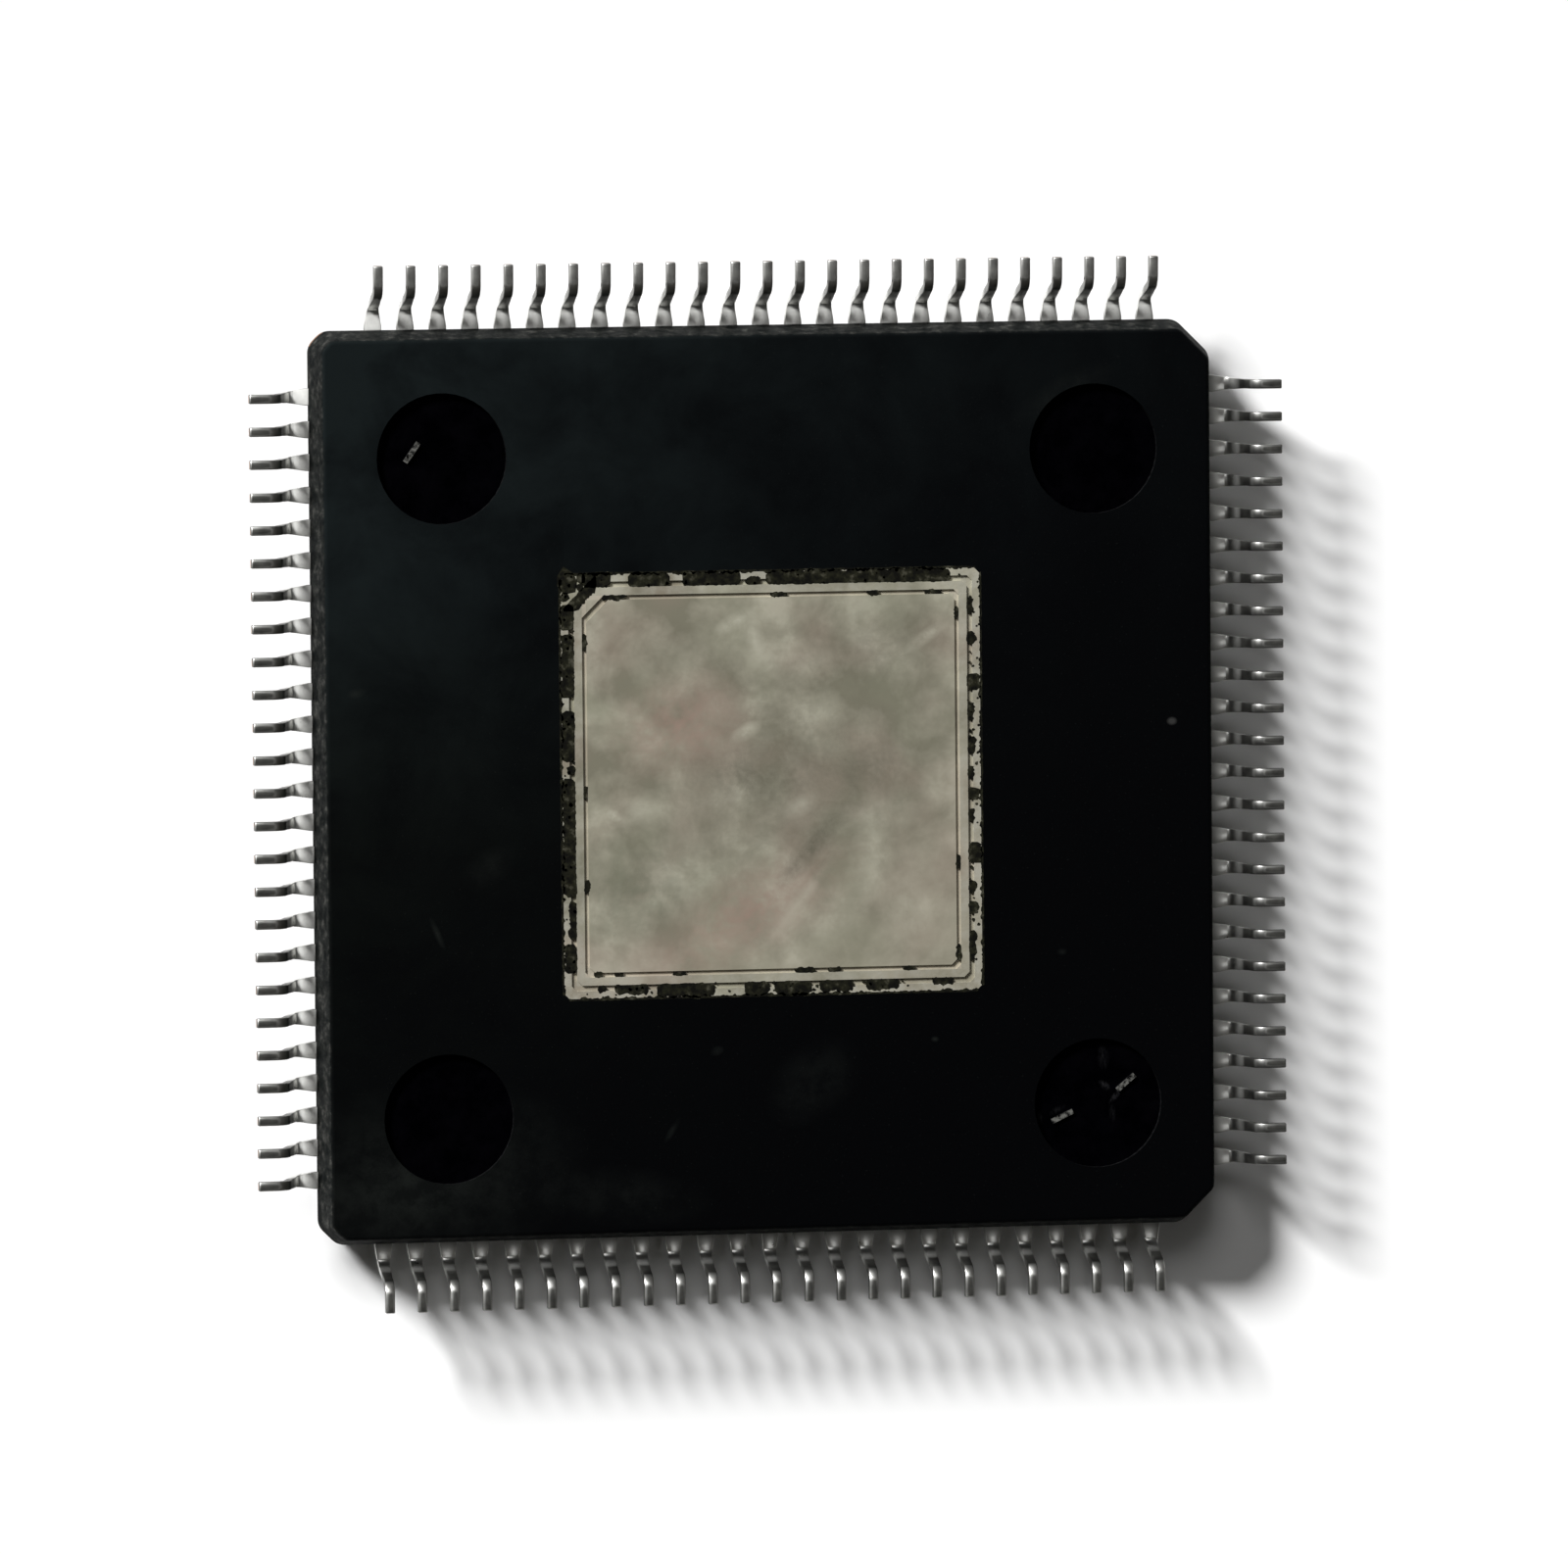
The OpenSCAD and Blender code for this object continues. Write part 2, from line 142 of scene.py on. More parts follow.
# Flash over the rim and the outer moat: stretches of each side as fractions from
# left or top, and the inset that each one reaches out to, in mm
OUTER_FLASH = {
    "top": (
        (0.05, 0.12, -0.02), (0.16, 0.26, -0.01), (0.29, 0.43, -0.02), (0.44, 0.475, 0.09),
        (0.49, 0.93, -0.015),
    ),
    "left": (
        (0.07, 0.13, -0.01), (0.14, 0.29, -0.01), (0.32, 0.44, 0.00), (0.45, 0.47, 0.08),
        (0.48, 0.76, 0.00), (0.77, 0.86, 0.08), (0.87, 0.94, 0.01),
    ),
    "right": (
        (0.07, 0.11, 0.10), (0.15, 0.18, 0.07), (0.25, 0.29, -0.01), (0.32, 0.36, 0.09),
        (0.40, 0.44, 0.06), (0.47, 0.50, 0.10), (0.52, 0.55, 0.02), (0.57, 0.60, 0.10),
        (0.65, 0.70, -0.01), (0.74, 0.77, 0.09), (0.79, 0.82, 0.05), (0.86, 0.93, 0.10),
    ),
    "bottom": (
        (0.08, 0.10, 0.08), (0.12, 0.20, 0.04), (0.22, 0.36, -0.01), (0.43, 0.49, 0.00),
        (0.50, 0.59, -0.02), (0.61, 0.69, 0.02), (0.72, 0.80, 0.03), (0.88, 0.93, 0.08),
    ),
}
# Flash in the inner moat: stretches of each side, as above
INNER_FLASH = {
    "top": ((0.10, 0.16), (0.50, 0.54), (0.73, 0.76), (0.87, 0.91)),
    "left": ((0.14, 0.18), (0.50, 0.53), (0.72, 0.75)),
    "right": ((0.09, 0.12), (0.68, 0.71), (0.89, 0.93)),
    "bottom": ((0.07, 0.09), (0.12, 0.14), (0.26, 0.29), (0.55, 0.60), (0.63, 0.66), (0.81, 0.84)),
}
# Blots at the indexed corner: shift from it and size in mm
CORNER_BLOTS = (
    ((0.10, -0.10), 0.20), ((0.33, -0.06), 0.09), ((0.05, -0.36), 0.09), ((0.30, -0.20), 0.08),
)
FLASH_SEED = 41
# How far the flash stands out of the solder face, and the step of its ragged edges
FLASH_PROUD = 0.002 * MM
FLASH_STEP = 0.028 * MM
CORNER_STRIP_LENGTH = 0.8 * MM
CRUMBS = 110


# ---- Node helpers ----

def new_material(name):
    """A new material, its node tree and its Principled shader."""
    material = bpy.data.materials.new(name)
    material.use_nodes = True
    tree = material.node_tree
    return material, tree, tree.nodes["Principled BSDF"]


def link(tree, output, target):
    tree.links.new(output, target)


def object_coordinates(tree):
    return tree.nodes.new("ShaderNodeTexCoord").outputs["Object"]


def mapped(tree, vector, scale=(1, 1, 1), turn=0.0, shift=(0, 0, 0)):
    """The vector scaled, turned about Z and shifted."""
    node = tree.nodes.new("ShaderNodeMapping")
    node.inputs["Rotation"].default_value = (0, 0, turn)
    node.inputs["Scale"].default_value = scale
    node.inputs["Location"].default_value = shift
    link(tree, vector, node.inputs["Vector"])
    return node.outputs["Vector"]


def noise(tree, vector, size, detail=3.0, roughness=0.55, distortion=0.0):
    """Noise whose features measure about size, in metres."""
    node = tree.nodes.new("ShaderNodeTexNoise")
    node.inputs["Scale"].default_value = 1 / size
    node.inputs["Detail"].default_value = detail
    node.inputs["Roughness"].default_value = roughness
    node.inputs["Distortion"].default_value = distortion
    link(tree, vector, node.inputs["Vector"])
    return node.outputs["Fac"]


def ramp(tree, value, *stops):
    """A colour ramp through (position, colour) stops."""
    node = tree.nodes.new("ShaderNodeValToRGB")
    elements = node.color_ramp.elements
    while len(elements) < len(stops):
        elements.new(0.5)
    for element, (position, colour) in zip(elements, stops):
        element.position = position
        element.color = (*colour, 1)
    link(tree, value, node.inputs["Fac"])
    return node.outputs["Color"]


def remap(tree, value, low, high, to_low=0.0, to_high=1.0):
    """The value carried from one range to another, and held at its ends."""
    node = tree.nodes.new("ShaderNodeMapRange")
    node.inputs["From Min"].default_value = low
    node.inputs["From Max"].default_value = high
    node.inputs["To Min"].default_value = to_low
    node.inputs["To Max"].default_value = to_high
    link(tree, value, node.inputs["Value"])
    return node.outputs["Result"]


def math_node(tree, operation, *values):
    node = tree.nodes.new("ShaderNodeMath")
    node.operation = operation
    for socket, value in zip(node.inputs, values):
        if isinstance(value, (int, float)):
            socket.default_value = value
        else:
            link(tree, value, socket)
    return node.outputs["Value"]


def product(tree, first, *others):
    """The product of masks and numbers, the first one being a mask."""
    for other in others:
        first = math_node(tree, "MULTIPLY", first, other)
    return first


def larger(tree, first, second):
    return math_node(tree, "MAXIMUM", first, second)


def mix_colour(tree, factor, first, second):
    """The first colour, and the second one where the factor is one."""
    node = tree.nodes.new("ShaderNodeMix")
    node.data_type = "RGBA"
    sockets = {"Factor": factor, "A": first, "B": second}
    for socket in node.inputs:
        if not socket.enabled or socket.name not in sockets:
            continue
        value = sockets[socket.name]
        if isinstance(value, tuple):
            socket.default_value = (*value, 1)
        else:
            link(tree, value, socket)
    return next(output for output in node.outputs if output.enabled)


def axes(tree, vector):
    """X, Y and Z of a vector."""
    node = tree.nodes.new("ShaderNodeSeparateXYZ")
    link(tree, vector, node.inputs["Vector"])
    return node.outputs["X"], node.outputs["Y"], node.outputs["Z"]


def square_reach(tree, x, y):
    """Half the side of the upright square round the middle that the point lies on."""
    return larger(tree, math_node(tree, "ABSOLUTE", x), math_node(tree, "ABSOLUTE", y))


def levelness(tree):
    """One where the surface faces straight up or down, and nought where it is a wall."""
    normal = tree.nodes.new("ShaderNodeTexCoord").outputs["Normal"]
    return math_node(tree, "ABSOLUTE", axes(tree, normal)[2])


def patch(tree, place, centre, size, turn, edge):
    """A soft oval mask, one inside and nought outside.

    Its centre and its two half lengths are in mm, and it has no limit in height."""
    moved = tree.nodes.new("ShaderNodeMapping")
    moved.vector_type = "TEXTURE"
    moved.inputs["Location"].default_value = (MM * centre[0], MM * centre[1], 0)
    moved.inputs["Rotation"].default_value = (0, 0, turn)
    moved.inputs["Scale"].default_value = (MM * size[0], MM * size[1], 1000)
    link(tree, place, moved.inputs["Vector"])
    reach = tree.nodes.new("ShaderNodeVectorMath")
    reach.operation = "LENGTH"
    link(tree, moved.outputs["Vector"], reach.inputs[0])
    return remap(tree, reach.outputs["Value"], 1.0, 1.0 - edge)


def bump(tree, shader, height, distance, strength):
    node = tree.nodes.new("ShaderNodeBump")
    node.inputs["Strength"].default_value = strength
    node.inputs["Distance"].default_value = distance
    link(tree, height, node.inputs["Height"])
    link(tree, node.outputs["Normal"], shader.inputs["Normal"])


# ---- Materials ----

def mould_compound():
    """Matt black epoxy: rough grey draft faces, dust and painted light towards one corner, painted
    shade in the recesses and painted highlights on the ticks.
    """
    material, tree, shader = new_material("mould_compound")
    place = object_coordinates(tree)
    x, y, z = axes(tree, place)
    clouds = noise(tree, place, 1.8 * MM, detail=5, roughness=0.62, distortion=0.3)
    grain = noise(tree, place, 0.06 * MM, detail=5, roughness=0.7)
    speckle = noise(tree, place, 0.035 * MM, detail=2)

    # Dust together with painted light that falls off from the upper left, where the window lamp
    # stands: the face grows lighter towards the indexed corner and the top
    slant = math_node(tree, "SUBTRACT", y, x)
    dust_and_light_share = math_node(tree, "POWER", remap(tree, slant, -12 * MM, 13 * MM), 3.0)
    dust_and_light_share = product(tree, dust_and_light_share, remap(tree, clouds, 0.35, 0.65, 0.5, 1.5))
    dust_and_light_tone = mix_colour(
        tree, remap(tree, y, 3 * MM, -1 * MM), (0.0072, 0.0100, 0.0105), (0.0050, 0.0066, 0.0055))
    face = mix_colour(tree, dust_and_light_share, (0.0008, 0.0009, 0.0012), dust_and_light_tone)
    face = mix_colour(tree, remap(tree, speckle, 0.66, 0.80, 0.0, 0.5), face, (0.012, 0.013, 0.012))

    # Marks of handling, and one pale speck at the right
    mottle = noise(tree, place, 0.45 * MM, detail=5, roughness=0.7)
    uneven = remap(tree, mottle, 0.40, 0.62, 0.3, 1.0)
    for centre, size, turn, strength in HANDLING_MARKS:
        rubbed = product(tree, patch(tree, place, centre, size, turn, 0.9), uneven, strength)
        face = mix_colour(tree, rubbed, face, (0.0130, 0.0150, 0.0135))
    speck = patch(tree, place, (6.25, 0.83), (0.09, 0.07), 0.0, 0.6)
    face = mix_colour(tree, product(tree, speck, 0.8), face, (0.035, 0.035, 0.034))

    # The steep draft faces
    level = levelness(tree)
    out = square_reach(tree, x, y)
    inner = BODY_HALF - WALL_ZONE
    steep = product(
        tree, remap(tree, level, 0.85, 0.35), remap(tree, out, inner, inner + 0.1 * MM))
    rough = noise(tree, place, 0.16 * MM, detail=4, roughness=0.7)
    wall = ramp(
        tree, rough, (0.40, (0.004, 0.005, 0.005)), (0.55, (0.014, 0.015, 0.014)),
        (0.68, (0.050, 0.050, 0.046)))

    # The recesses: floors darkened, partly as painted shade and partly for the ejector pins' own
    # mark, scratches in the vent corner's one, sides, and raised ticks
    sunk = remap(tree, z, SOLDER_FACE - 0.02 * MM, SOLDER_FACE - 0.05 * MM)
    sunk = product(tree, sunk, math_node(tree, "LESS_THAN", out, inner))
    # Painted shade: the recess floors are darker than the face, which also stands for the ejector
    # pins' own mark
    recess = mix_colour(
        tree, remap(tree, mottle, 0.40, 0.65), (0.0002, 0.0002, 0.0004), (0.0009, 0.0008, 0.0013))
    streaks = noise(tree, mapped(tree, place, (2.5, 1, 1), 0.3), 0.10 * MM, detail=4, roughness=0.7)
    for shift, size, turn, tone in VENT_SCRATCHES:
        centre = (VENT_RECESS[0] + shift[0], VENT_RECESS[1] + shift[1])
        scratch = patch(tree, place, centre, size, turn, 0.9)
        scratch = product(tree, scratch, remap(tree, streaks, 0.42, 0.60, 0.1, 1.0))
        recess = mix_colour(tree, scratch, recess, (tone, tone, 1.1 * tone))
    side = ramp(tree, grain, (0.35, (0.002, 0.002, 0.002)), (0.65, (0.012, 0.012, 0.013)))
    recess = mix_colour(tree, remap(tree, level, 0.8, 0.5), recess, side)
    marked = mix_colour(tree, sunk, face, recess)
    # Painted highlight: the tops of the raised ticks are pale, as where they catch the light
    tick_highlight = product(
        tree, remap(tree, z, TICK_TOP - 0.012 * MM, TICK_TOP - 0.004 * MM),
        remap(tree, z, TICK_TOP + 0.012 * MM, TICK_TOP + 0.004 * MM),
        sunk, remap(tree, level, 0.9, 0.99), remap(tree, grain, 0.4, 0.6))
    marked = mix_colour(tree, tick_highlight, marked, (0.12, 0.12, 0.11))
    link(tree, mix_colour(tree, steep, marked, wall), shader.inputs["Base Color"])
    link(tree, remap(tree, grain, 0.3, 0.7, 0.55, 0.75), shader.inputs["Roughness"])
    link(tree, remap(tree, sunk, 0.0, 1.0, 0.02, 0.0), shader.inputs["Specular IOR Level"])
    bump(tree, shader, grain, 0.004 * MM, 0.6)
    return material


def lead_finish():
    """Matt tin over copper, a little uneven, with the copper bare where the toes were cut."""
    material, tree, shader = new_material("lead_finish")
    place = object_coordinates(tree)
    x, y, z = axes(tree, place)
    patches = noise(tree, place, 0.25 * MM, detail=4)
    grain = noise(tree, place, 0.03 * MM, detail=3)
    tin = ramp(tree, patches, (0.3, (0.70, 0.70, 0.67)), (0.7, (0.92, 0.92, 0.89)))
    # The soles and the slopes get painted shade, which also stands for the dark surroundings they
    # reflect, least on the top side, which faces the window lamp. The bend between them keeps the
    # clean tin, where the lamps' highlights show, apart from the right side's, which gets painted
    # shade that dims its highlight
    painted_shade_tin = ramp(tree, patches, (0.3, (0.09, 0.09, 0.085)), (0.7, (0.20, 0.20, 0.185)))
    top_side_shade_tin = ramp(tree, patches, (0.3, (0.22, 0.22, 0.21)), (0.7, (0.40, 0.40, 0.38)))
    painted_shade_tin = mix_colour(tree, remap(tree, y, BODY_HALF, BODY_HALF + LONG_FADE), painted_shade_tin, top_side_shade_tin)
    level = levelness(tree)
    sloping = product(tree, remap(tree, level, 0.50, 0.75), remap(tree, level, 0.995, 0.97))
    heel = product(tree, sloping, remap(tree, z, 1.20 * MM, 1.30 * MM))
    raised = remap(tree, z, 0.90 * MM, 1.10 * MM)
    painted_shade_zone = math_node(tree, "SUBTRACT", raised, heel)
    tin = mix_colour(tree, painted_shade_zone, tin, painted_shade_tin)
    # Painted shade on the right side's heels, to dim their highlight
    right_heel_shade = product(tree, heel, remap(tree, x, BODY_HALF, BODY_HALF + LONG_FADE, 0.0, 0.9))
    tin = mix_colour(tree, right_heel_shade, tin, (0.26, 0.26, 0.25))
    # The flats of the shoulders on the left and top sides, which face the window lamp, are less
    # metallic so that they look white in its light, and get no painted shade. The others get
    # painted shade at the moulding, where the body's shadow falls, and are smoother towards the
    # bend
    out = square_reach(tree, x, y)
    lit_side_shoulders = larger(
        tree, remap(tree, x, -BODY_HALF, -BODY_HALF - SHORT_FADE),
        remap(tree, y, BODY_HALF, BODY_HALF + SHORT_FADE, 0.0, 0.6))
    lit_side_shoulders = product(tree, lit_side_shoulders, remap(tree, level, 0.75, 0.92))
    shoulder_shade = remap(tree, out, BODY_HALF + 0.17 * MM, BODY_HALF + SHORT_FADE)
    for less in (raised, product(tree, lit_side_shoulders, 2)):
        shoulder_shade = math_node(tree, "SUBTRACT", shoulder_shade, less)
    shoulder_shade = remap(tree, shoulder_shade, 0.0, 1.0)
    # Painted shade near the moulding on the shoulders of the right and bottom sides
    tin = mix_colour(tree, product(tree, shoulder_shade, 0.8), tin, (0.30, 0.30, 0.29))
    cut = remap(tree, out, TOE - 0.004 * MM, TOE - 0.001 * MM)
    bare = product(tree, cut, remap(tree, patches, 0.60, 0.50))
    link(tree, mix_colour(tree, bare, tin, (0.62, 0.34, 0.20)), shader.inputs["Base Color"])
    # Lit and shaded copies of the tin: less metal on the shoulders of the lit sides
    metal = larger(tree, raised, remap(tree, lit_side_shoulders, 0.0, 1.0, 0.9, 0.1))
    link(tree, metal, shader.inputs["Metallic"])
    roughness = remap(tree, patches, 0.3, 0.7, -0.03, 0.05)
    for mask, smooth, coarse in ((raised, 0.30, 0.34), (painted_shade_zone, 0.0, 0.10), (shoulder_shade, 0.0, 0.25)):
        share = remap(tree, mask, 0.0, 1.0, smooth, coarse)
        roughness = math_node(tree, "ADD", roughness, share)
    link(tree, roughness, shader.inputs["Roughness"])
    bump(tree, shader, grain, 0.0010 * MM, 0.2)
    return material


def flash_film():
    """Compound so thin that it looks brown and lets a little metal through."""
    material, tree, shader = new_material("flash_film")
    thin = noise(tree, object_coordinates(tree), 0.12 * MM, detail=4, roughness=0.6)
    colour = ramp(
        tree, thin, (0.42, (0.003, 0.003, 0.002)), (0.58, (0.012, 0.012, 0.006)),
        (0.70, (0.05, 0.048, 0.034)))
    link(tree, colour, shader.inputs["Base Color"])
    link(tree, remap(tree, thin, 0.3, 0.7, 0.5, 0.7), shader.inputs["Roughness"])
    shader.inputs["Specular IOR Level"].default_value = 0.1
    return material


def paddle_metal():
    """The plated copper paddle, stained olive and pink and lightly scuffed."""
    material, tree, shader = new_material("paddle_metal")
    place = object_coordinates(tree)
    x, y, _ = axes(tree, place)
    clouds = noise(tree, place, 0.85 * MM, detail=4, roughness=0.55, distortion=0.12)
    elsewhere = mapped(tree, place, shift=(3 * MM, 5 * MM, 0))
    tint = noise(tree, elsewhere, 1.5 * MM, detail=2, distortion=0.1)
    worn = noise(tree, place, 0.22 * MM, detail=4, roughness=0.65)
    grain = noise(tree, place, 0.05 * MM, detail=4)
    colour = ramp(
        tree, clouds,
        (0.36, (0.310, 0.296, 0.230)), (0.46, (0.380, 0.363, 0.290)),
        (0.55, (0.445, 0.426, 0.345)), (0.66, (0.560, 0.540, 0.447)),
    )
    pinker = remap(tree, tint, 0.50, 0.66, 0.0, 0.35)
    colour = mix_colour(tree, pinker, colour, (0.430, 0.350, 0.295))
    greener = remap(tree, tint, 0.48, 0.34, 0.0, 0.35)
    colour = mix_colour(tree, greener, colour, (0.345, 0.355, 0.265))
    slant = math_node(tree, "SUBTRACT", y, product(tree, x, 0.5))
    lower = remap(tree, slant, -1.0 * MM, -4.5 * MM, 0.0, 0.4)
    colour = mix_colour(tree, lower, colour, (0.52, 0.485, 0.40))
    for centre, size, turn, tone, strength in PAD_RUBS:
        mask = patch(tree, place, centre, size, turn, 1.0)
        uneven = remap(tree, worn, 0.36, 0.60, 0.35 * strength, strength)
        colour = mix_colour(tree, product(tree, mask, uneven), colour, RUB_TONES[tone])

    # Rim and ridge, rubbed brighter than the field
    inset = math_node(tree, "SUBTRACT", PAD_HALF, square_reach(tree, x, y))
    rim = product(
        tree, remap(tree, inset, RIM_WIDTH + 0.02 * MM, RIM_WIDTH, 0.0, 0.7),
        remap(tree, inset, -0.3 * MM, -0.2 * MM))
    ridge = product(
        tree, remap(tree, inset, RIDGE[0] - 0.01 * MM, RIDGE[0]),
        remap(tree, inset, RIDGE[1] + 0.01 * MM, RIDGE[1], 0.0, 0.4))
    bright = product(tree, larger(tree, rim, ridge), remap(tree, worn, 0.40, 0.62, 0.1, 1.0))
    colour = mix_colour(tree, bright, colour, (0.54, 0.53, 0.47))
    # Painted light in the inner moat: its metal is made paler to take away the shade that falls in
    # it
    moat_lightening = product(
        tree, remap(tree, inset, INNER_MOAT[0], INNER_MOAT[0] + 0.005 * MM),
        remap(tree, inset, INNER_MOAT[1], INNER_MOAT[1] - 0.005 * MM, 0.0, 0.4))
    colour = mix_colour(tree, moat_lightening, colour, (0.66, 0.60, 0.51))
    # The tie bars' cut ends are bare copper
    copper = ramp(tree, worn, (0.4, (0.16, 0.10, 0.07)), (0.6, (0.34, 0.20, 0.13)))
    colour = mix_colour(tree, remap(tree, inset, -2.0 * MM, -2.2 * MM), colour, copper)
    link(tree, colour, shader.inputs["Base Color"])
    shader.inputs["Metallic"].default_value = 1.0
    link(tree, remap(tree, clouds, 0.35, 0.65, 0.84, 0.76), shader.inputs["Roughness"])
    bump(tree, shader, grain, 0.003 * MM, 0.5)
    return material


def plain_material(name, colour, metallic, roughness, grain_size):
    """A lightly mottled finish for the pieces that the moulding hides."""
    material, tree, shader = new_material(name)
    mottle = noise(tree, object_coordinates(tree), grain_size)
    darker = tuple(0.8 * part for part in colour)
    link(tree, ramp(tree, mottle, (0.35, darker), (0.65, colour)), shader.inputs["Base Color"])
    shader.inputs["Metallic"].default_value = metallic
    uneven = remap(tree, mottle, 0.3, 0.7, roughness, 1.2 * roughness)
    link(tree, uneven, shader.inputs["Roughness"])
    return material


def dress(node, material):
    """Gives a CAD node its finish."""
    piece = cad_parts[node]
    piece.data.materials.clear()
    piece.data.materials.append(material)
    return piece


def soften(piece):
    """Rounds the sharp edges of a lead a little by modifiers, so its mesh stays as it is."""
    weld = piece.modifiers.new("weld", "WELD")
    weld.merge_threshold = WELD_REACH
    bevel = piece.modifiers.new("bevel", "BEVEL")
    bevel.width = LEAD_EDGE
    bevel.segments = 2
    bevel.limit_method = "ANGLE"
    bevel.angle_limit = math.radians(40)
    piece.modifiers.new("normals", "WEIGHTED_NORMAL")


def dress_all():
    dress("mould_body", mould_compound())
    tin = lead_finish()
    dress("die_paddle", paddle_metal())
    dress("die", plain_material("silicon", (0.24, 0.26, 0.30), 1.0, 0.12, 0.4 * MM))
    dress("die_attach", plain_material("attach_film", (0.70, 0.70, 0.66), 0.0, 0.5, 0.1 * MM))
    gold = plain_material("bond_gold", (0.86, 0.66, 0.28), 1.0, 0.2, 0.05 * MM)
    for side in SIDES:
        dress(f"bond_wires_{side}", gold)
    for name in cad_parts:
        if name.startswith("leads_"):
            soften(dress(name, tin))


# ---- Flash that bled into the moats of the exposed pad ----

def side_point(side, along, inset):
    """A point of the pad's face, along a side from left or top and so far in from it."""
    run = 2 * along - 1
    level = PAD_HALF - inset
    return {
        "top": Vector((run * PAD_HALF, level, 0)),
        "bottom": Vector((run * PAD_HALF, -level, 0)),
        "left": Vector((-level, -run * PAD_HALF, 0)),
        "right": Vector((level, -run * PAD_HALF, 0)),
    }[side]


def ragged_strip(point, inner, outer, length, chance, unevenness=(0.010 * MM, 0.022 * MM)):
    """Outline of a strip between two insets, with blunt ends and uneven edges.

    The function point gives a place from a fraction of the length and an inset."""
    count = max(5, round(length / FLASH_STEP))
    middle = (inner + outer) / 2
    edges = []
    for level, swing in zip((inner, outer), unevenness):
        edge, drift = [], 0.0
        for step in range(count + 1):
            portion = step / count
            blunt = 0.5 + chance.uniform(0.5, 1.0) * count * min(portion, 1 - portion) / 2
            drift = 0.5 * drift + chance.uniform(-swing, swing)
            along = portion + chance.uniform(-0.3, 0.3) / count
            edge.append(point(along, middle + (level - middle) * min(1, blunt) + drift))
        edges.append(edge)
    return edges[0] + edges[1][::-1]


def add_prism(form, outline, bottom, top):
    """Adds a closed prism over an outline."""
    low = [form.verts.new((point.x, point.y, bottom)) for point in outline]
    high = [form.verts.new((point.x, point.y, top)) for point in outline]
    form.faces.new(low[::-1])
    form.faces.new(high)
    for k, corner in enumerate(low):
        follower = (k + 1) % len(low)
        form.faces.new((corner, low[follower], high[follower], high[k]))


def side_strip(side, begin, finish, inner, outer, chance, **shape):
    """A ragged strip along one side of the pad."""
    def point(portion, inset):
        return side_point(side, begin + (finish - begin) * portion, inset)
    return ragged_strip(point, inner, outer, (finish - begin) * 2 * PAD_HALF, chance, **shape)


def corner_strip(inner, outer, chance):
    """A ragged strip along the moats' chamfer at the indexed corner."""
    reach = PAD_INDEX_CUT + 0.22 * MM

    def point(portion, inset):
        start = Vector((inset, -reach, 0))
        end = Vector((reach, -inset, 0))
        return Vector((-PAD_HALF, PAD_HALF, 0)) + start.lerp(end, portion)
    return ragged_strip(point, inner, outer, CORNER_STRIP_LENGTH, chance)


def crumb(centre, size, chance):
    """A small uneven blot."""
    corners = 7
    outline = []
    for k in range(corners):
        spoke = Vector((size * chance.uniform(0.6, 1.2), 0, 0))
        outline.append(centre + Matrix.Rotation(math.tau * k / corners, 3, "Z") @ spoke)
    return outline


def add_flash(film):
    """Thin compound over the pad's rim, in both moats and at the indexed corner."""
    chance = random.Random(FLASH_SEED)
    form = bmesh.new()

    def add(outline):
        add_prism(form, outline, SOLDER_FACE - MOAT_DEPTH, SOLDER_FACE + FLASH_PROUD)

    for side in SIDES:
        for begin, finish, reach in OUTER_FLASH[side]:
            add(side_strip(side, begin, finish, RIDGE[0], reach * MM, chance))
        for begin, finish in INNER_FLASH[side]:
            add(side_strip(side, begin, finish, *INNER_MOAT, chance))
        # The compound's own ragged edge round the pad
        add(side_strip(
            side, 0.01, 0.99, 0.008 * MM, -0.03 * MM, chance, unevenness=(0.022 * MM, 0.004 * MM)))
    add(corner_strip(-0.01 * MM, 0.24 * MM, chance))
    corner = Vector((-PAD_HALF, PAD_HALF, 0))
    for shift, size in CORNER_BLOTS:
        add(crumb(corner + Vector((*shift, 0)) * MM, size * MM, chance))
    for _ in range(CRUMBS):
        place = side_point(
            chance.choice(SIDES), chance.uniform(0.02, 0.98), chance.uniform(0, RIDGE[0]))
        add(crumb(place, chance.uniform(0.012, 0.035) * MM, chance))
    bmesh.ops.recalc_face_normals(form, faces=form.faces)
    mesh = bpy.data.meshes.new("pad_flash")
    form.to_mesh(mesh)
    form.free()
    flash = bpy.data.objects.new("pad_flash", mesh)
    bpy.context.scene.collection.objects.link(flash)
    mesh.materials.append(film)
    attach(flash, "root")


# ---- Floor, lamps and camera ----

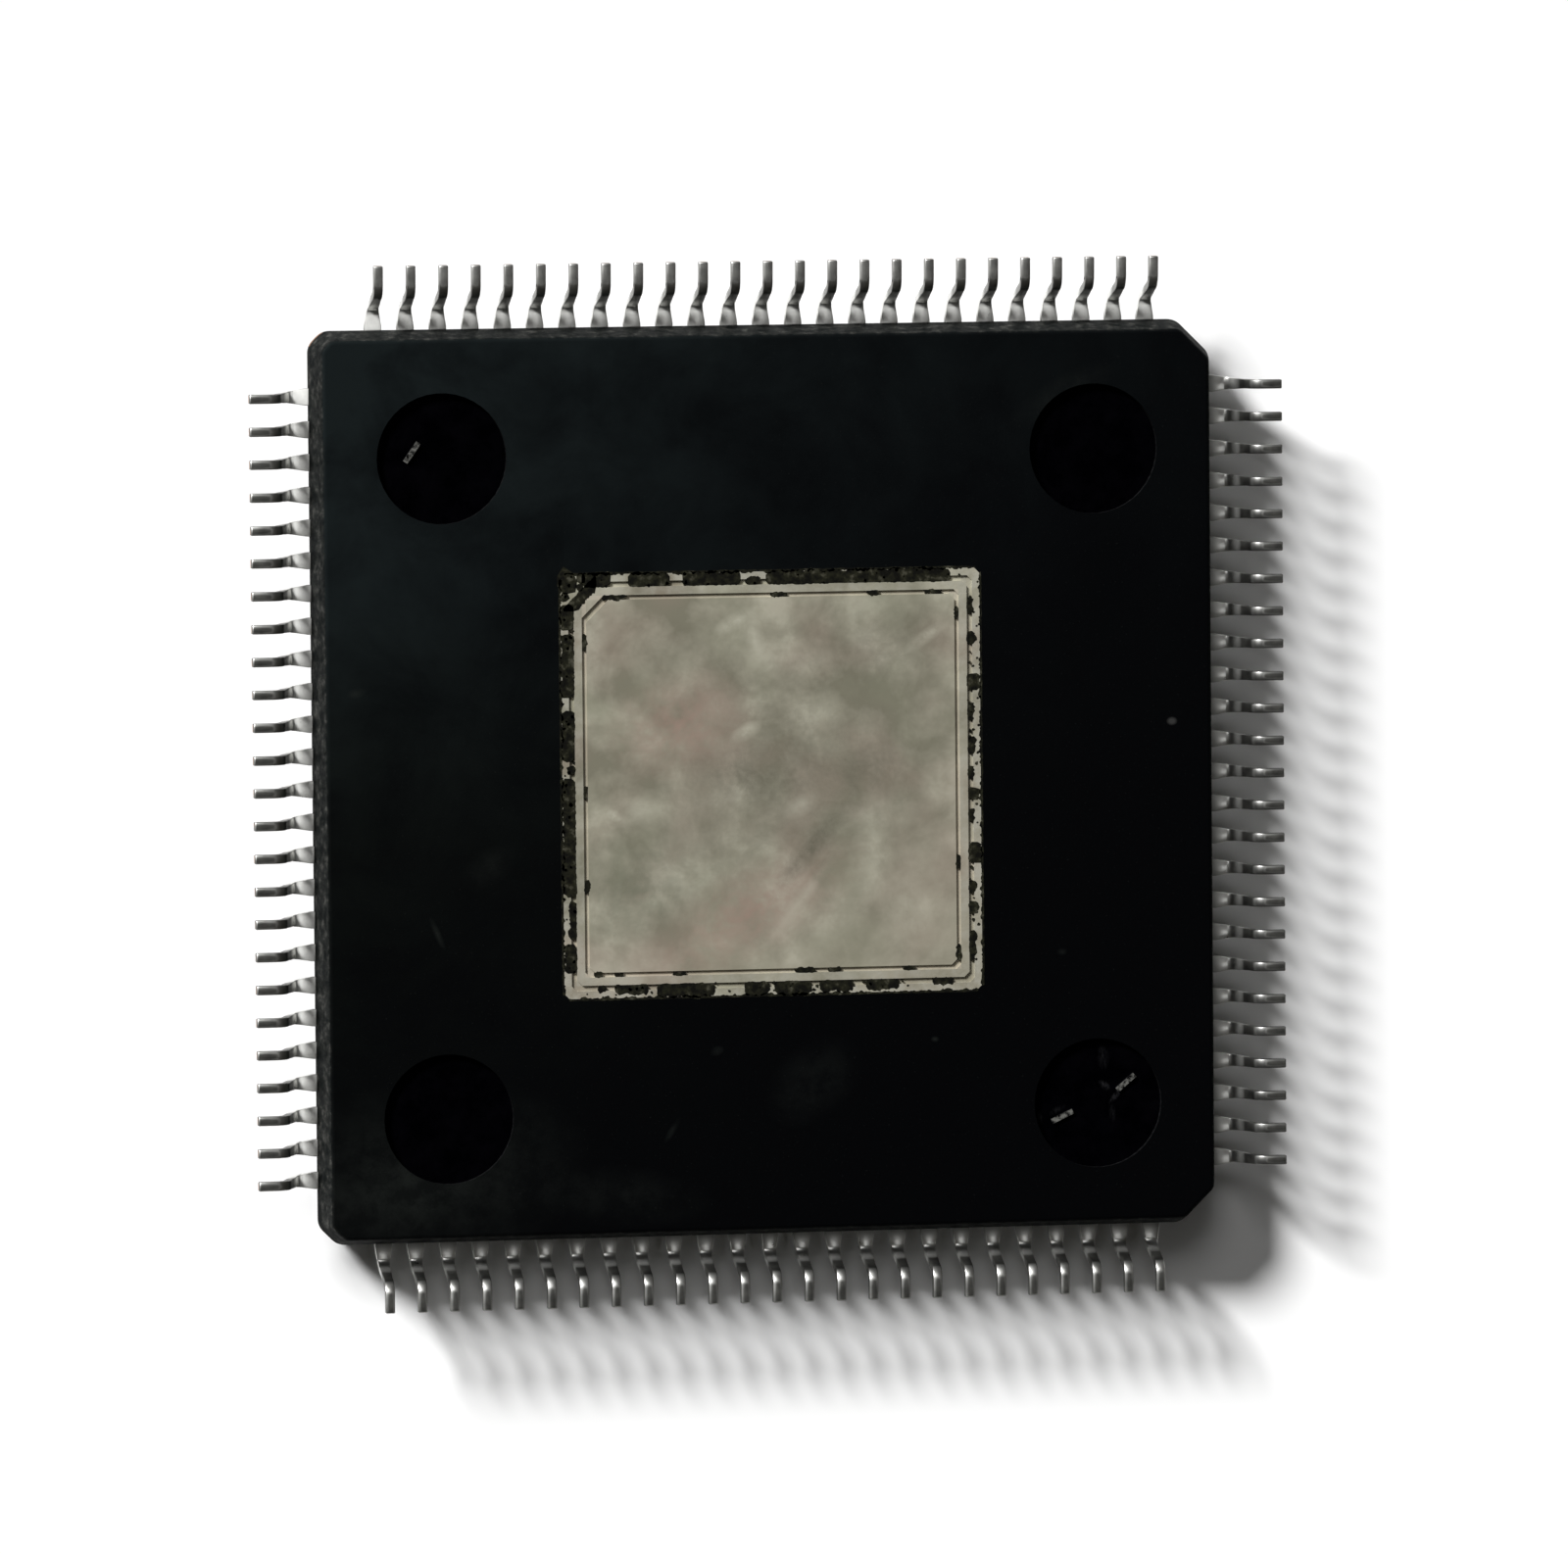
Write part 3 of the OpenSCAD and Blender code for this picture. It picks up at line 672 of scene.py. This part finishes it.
def add_floor():
    """A plain pale floor just under the chip."""
    size = FLOOR_HALF
    mesh = bpy.data.meshes.new("floor")
    corners = [(-size, -size, 0), (size, -size, 0), (size, size, 0), (-size, size, 0)]
    mesh.from_pydata(corners, [], [(0, 1, 2, 3)])
    floor = bpy.data.objects.new("floor", mesh)
    floor.location.z = CAD_BOX[0][2] - FLOOR_GAP
    bpy.context.scene.collection.objects.link(floor)
    material, _, shader = new_material("floor_paper")
    shader.inputs["Base Color"].default_value = (0.93, 0.93, 0.93, 1)
    shader.inputs["Roughness"].default_value = 1.0
    shader.inputs["Specular IOR Level"].default_value = 0.0
    mesh.materials.append(material)
    floor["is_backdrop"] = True


def add_far_lamp(name, strength, spread, turn, height):
    """A distant lamp that shines from a turn about Z and a height over the floor.

    Spread, turn and height are in degrees."""
    lamp = bpy.data.lights.new(name, "SUN")
    lamp.energy = strength
    lamp.angle = math.radians(spread)
    turn, height = math.radians(turn), math.radians(height)
    level = math.cos(height)
    toward = Vector((level * math.cos(turn), level * math.sin(turn), math.sin(height)))
    piece = bpy.data.objects.new(name, lamp)
    piece.rotation_euler = toward.to_track_quat("Z", "Y").to_euler()
    piece.location = toward * LAMP_DISTANCE
    bpy.context.scene.collection.objects.link(piece)


def add_sky():
    """A soft sky, brightest overhead, which the camera sees as white."""
    world = bpy.data.worlds.new("studio")
    bpy.context.scene.world = world
    world.use_nodes = True
    tree = world.node_tree
    background = tree.nodes["Background"]
    direction = tree.nodes.new("ShaderNodeTexCoord").outputs["Generated"]
    overhead = remap(tree, axes(tree, direction)[2], 0.0, 1.0, SKY_LOW, SKY_HIGH)
    seen = tree.nodes.new("ShaderNodeLightPath").outputs["Is Camera Ray"]
    link(tree, mix_colour(tree, seen, SKY_COLOUR, (1.0, 1.0, 1.0)), background.inputs["Color"])
    link(tree, larger(tree, seen, overhead), background.inputs["Strength"])


def add_camera():
    """The photograph's view: a long lens that leans off the chip's axis and is rolled a little."""
    lens = bpy.data.cameras.new("camera")
    lens.sensor_width = SENSOR_WIDTH
    lens.lens = SENSOR_WIDTH * CAMERA_DISTANCE / FRAME_WIDTH
    lens.clip_start = CLIP_START
    lens.clip_end = CLIP_END
    back = Vector((-math.tan(LEAN_LEFT), math.tan(LEAN_UP), 1)).normalized()
    right = Vector((ROLL, 1, 0)).cross(back).normalized()
    up = back.cross(right)
    camera = bpy.data.objects.new("camera", lens)
    basis = Matrix((right, up, back)).transposed()
    camera.matrix_world = Matrix.Translation(AIM + back * CAMERA_DISTANCE) @ basis.to_4x4()
    bpy.context.scene.collection.objects.link(camera)
    bpy.context.scene.camera = camera


bpy.context.scene.view_settings.view_transform = "Standard"
add_camera()
add_sky()
for row in LAMPS:
    add_far_lamp(*row)
add_floor()
dress_all()
add_flash(flash_film())

boxes = {"cad": CAD_BOX, "visual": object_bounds()}
{name: [list(corner) for corner in box] for name, box in boxes.items()}
